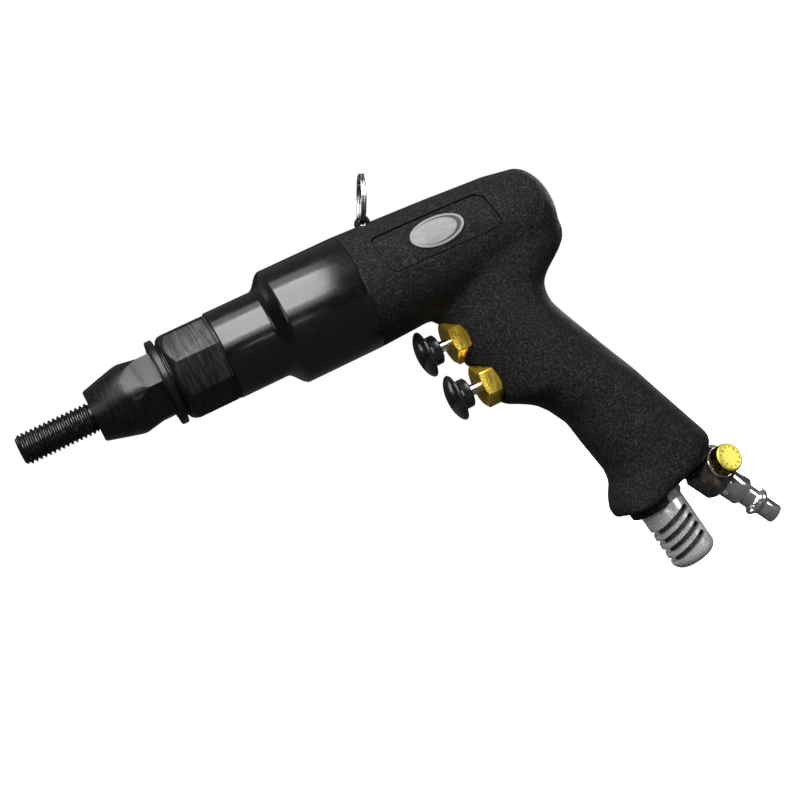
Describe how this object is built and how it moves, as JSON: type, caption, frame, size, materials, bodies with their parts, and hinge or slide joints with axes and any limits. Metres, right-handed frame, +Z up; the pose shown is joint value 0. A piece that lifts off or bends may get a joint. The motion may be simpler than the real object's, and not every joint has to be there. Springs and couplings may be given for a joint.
{
  "type": "pneumatic rivet nut gun",
  "caption": "Pistol-grip air tool that spins a threaded mandrel to set rivet nuts, with a planetary gearbox, two push valves, an exhaust muffler and a quick-connect inlet.",
  "frame": {"origin": "on the barrel axis, at the front face of the nosepiece", "axes": "+X along the barrel towards the tail, mandrel pointing -X; +Z up, grip hanging to -Z"},
  "size_m": [0.2541, 0.046, 0.1942],
  "materials": {
    "textured_housing": "fine moulded grain, matt",
    "gloss_black_case": "gloss black",
    "machined_dark_steel": "milled and blackened, satin",
    "blackened_steel": "black oxide, satin",
    "mandrel_steel": "black oxide, oiled",
    "ground_steel": "ground",
    "bearing_steel": "polished",
    "vane_composite": "phenolic cloth",
    "plate_aluminium": "turned",
    "black_cap_plastic": "gloss",
    "polished_stem": "polished",
    "spring_steel": "drawn wire",
    "valve_brass": "polished",
    "inlet_bronze": "dark anodised",
    "knob_brass": "polished face, dark knurled side",
    "plated_steel": "bright plated",
    "zinc_nut": "grey plated",
    "cast_muffler": "cast, lightly polished",
    "sintered_core": "porous sintered",
    "ring_chrome": "polished wire",
    "badge_silver": "satin, black line",
    "seal_rubber": "moulded"
  },
  "bodies": {
    "root": {"motor_housing": "textured_housing", "gear_housing": "gloss_black_case", "nose_adapter": "machined_dark_steel", "lock_ring": "blackened_steel", "nosepiece": "blackened_steel", "spindle_outer_race": "bearing_steel", "spindle_balls": "bearing_steel", "thrust_front_washer": "bearing_steel", "thrust_balls": "bearing_steel", "ring_gear": "ground_steel", "motor_cylinder": "ground_steel", "front_end_plate": "plate_aluminium", "rear_end_plate": "plate_aluminium", "front_outer_race": "bearing_steel", "front_balls": "bearing_steel", "rear_outer_race": "bearing_steel", "rear_balls": "bearing_steel", "forward_valve_nut": "valve_brass", "forward_spring": "spring_steel", "reverse_valve_nut": "valve_brass", "reverse_spring": "spring_steel", "inlet_body": "inlet_bronze", "inlet_bushing": "blackened_steel", "air_plug": "plated_steel", "regulator_collar": "plated_steel", "muffler_nut": "zinc_nut", "muffler_body": "cast_muffler", "muffler_core": "sintered_core", "hanger_lug": "textured_housing", "name_badge": "badge_silver", "seal_rings": "seal_rubber"},
    "rotor": {"rotor": "ground_steel", "rotor_pinion": "ground_steel", "vanes": "vane_composite", "front_inner_race": "bearing_steel", "rear_inner_race": "bearing_steel"},
    "first_stage": {"first_carrier": "ground_steel", "first_carrier_ring": "ground_steel", "first_pins": "ground_steel"},
    "output": {"output_spindle": "ground_steel", "output_carrier": "ground_steel", "output_carrier_ring": "ground_steel", "output_pins": "ground_steel", "mandrel": "mandrel_steel", "spindle_inner_race": "bearing_steel", "thrust_rear_washer": "bearing_steel"},
    "forward_push": {"forward_button": "black_cap_plastic", "forward_stem": "polished_stem"},
    "reverse_push": {"reverse_button": "black_cap_plastic", "reverse_stem": "polished_stem"},
    "ring": {"hanging_ring": "ring_chrome"},
    "regulator": {"regulator_knob": "knob_brass", "regulator_needle": "polished_stem"},
    "first_planet_1": {"first_planet_1": "ground_steel"},
    "first_planet_2": {"first_planet_2": "ground_steel"},
    "first_planet_3": {"first_planet_3": "ground_steel"},
    "output_planet_1": {"output_planet_1": "ground_steel"},
    "output_planet_2": {"output_planet_2": "ground_steel"},
    "output_planet_3": {"output_planet_3": "ground_steel"}
  },
  "joints": [
    {"name": "rotor_spin", "type": "hinge", "parent": "root", "child": "rotor", "pos_m": [0.13, 0, 0], "axis": [1, 0, 0], "continuous": true},
    {"name": "first_stage_spin", "type": "hinge", "parent": "root", "child": "first_stage", "pos_m": [0.1, 0, 0], "axis": [1, 0, 0], "continuous": true},
    {"name": "mandrel_spin", "type": "hinge", "parent": "root", "child": "output", "pos_m": [0.05, 0, 0], "axis": [1, 0, 0], "continuous": true},
    {"name": "first_planet_1_spin", "type": "hinge", "parent": "first_stage", "child": "first_planet_1", "pos_m": [0.1013, 0, -0.01155], "axis": [1, 0, 0], "continuous": true},
    {"name": "first_planet_2_spin", "type": "hinge", "parent": "first_stage", "child": "first_planet_2", "pos_m": [0.1013, 0.01, 0.00577], "axis": [1, 0, 0], "continuous": true},
    {"name": "first_planet_3_spin", "type": "hinge", "parent": "first_stage", "child": "first_planet_3", "pos_m": [0.1013, -0.01, 0.00577], "axis": [1, 0, 0], "continuous": true},
    {"name": "output_planet_1_spin", "type": "hinge", "parent": "output", "child": "output_planet_1", "pos_m": [0.0868, 0, -0.01155], "axis": [1, 0, 0], "continuous": true},
    {"name": "output_planet_2_spin", "type": "hinge", "parent": "output", "child": "output_planet_2", "pos_m": [0.0868, 0.01, 0.00577], "axis": [1, 0, 0], "continuous": true},
    {"name": "output_planet_3_spin", "type": "hinge", "parent": "output", "child": "output_planet_3", "pos_m": [0.0868, -0.01, 0.00577], "axis": [1, 0, 0], "continuous": true},
    {"name": "forward_press", "type": "slide", "parent": "root", "child": "forward_push", "axis": [1, 0, 0], "range_m": [0, 0.0035], "stiffness_N_per_m": 1500, "springref_m": -0.002},
    {"name": "reverse_press", "type": "slide", "parent": "root", "child": "reverse_push", "axis": [1, 0, 0], "range_m": [0, 0.0035], "stiffness_N_per_m": 1500, "springref_m": -0.002},
    {"name": "ring_swing", "type": "hinge", "parent": "root", "child": "ring", "pos_m": [0.1228, 0, 0.0232], "axis": [0, 1, 0], "range_deg": [-110, 60]},
    {"name": "regulator_turn", "type": "hinge", "parent": "root", "child": "regulator", "pos_m": [0.20497, 0, -0.12309], "axis": [0.2932, -0.9397, 0.1762], "range_deg": [0, 270]}
  ],
  "couplings": [
    {"joint": "first_stage_spin", "follows": "rotor_spin", "ratio": 0.22727},
    {"joint": "mandrel_spin", "follows": "rotor_spin", "ratio": 0.051653},
    {"joint": "first_planet_1_spin", "follows": "rotor_spin", "ratio": -0.64394},
    {"joint": "first_planet_2_spin", "follows": "rotor_spin", "ratio": -0.64394},
    {"joint": "first_planet_3_spin", "follows": "rotor_spin", "ratio": -0.64394},
    {"joint": "output_planet_1_spin", "follows": "rotor_spin", "ratio": -0.14635},
    {"joint": "output_planet_2_spin", "follows": "rotor_spin", "ratio": -0.14635},
    {"joint": "output_planet_3_spin", "follows": "rotor_spin", "ratio": -0.14635}
  ]
}
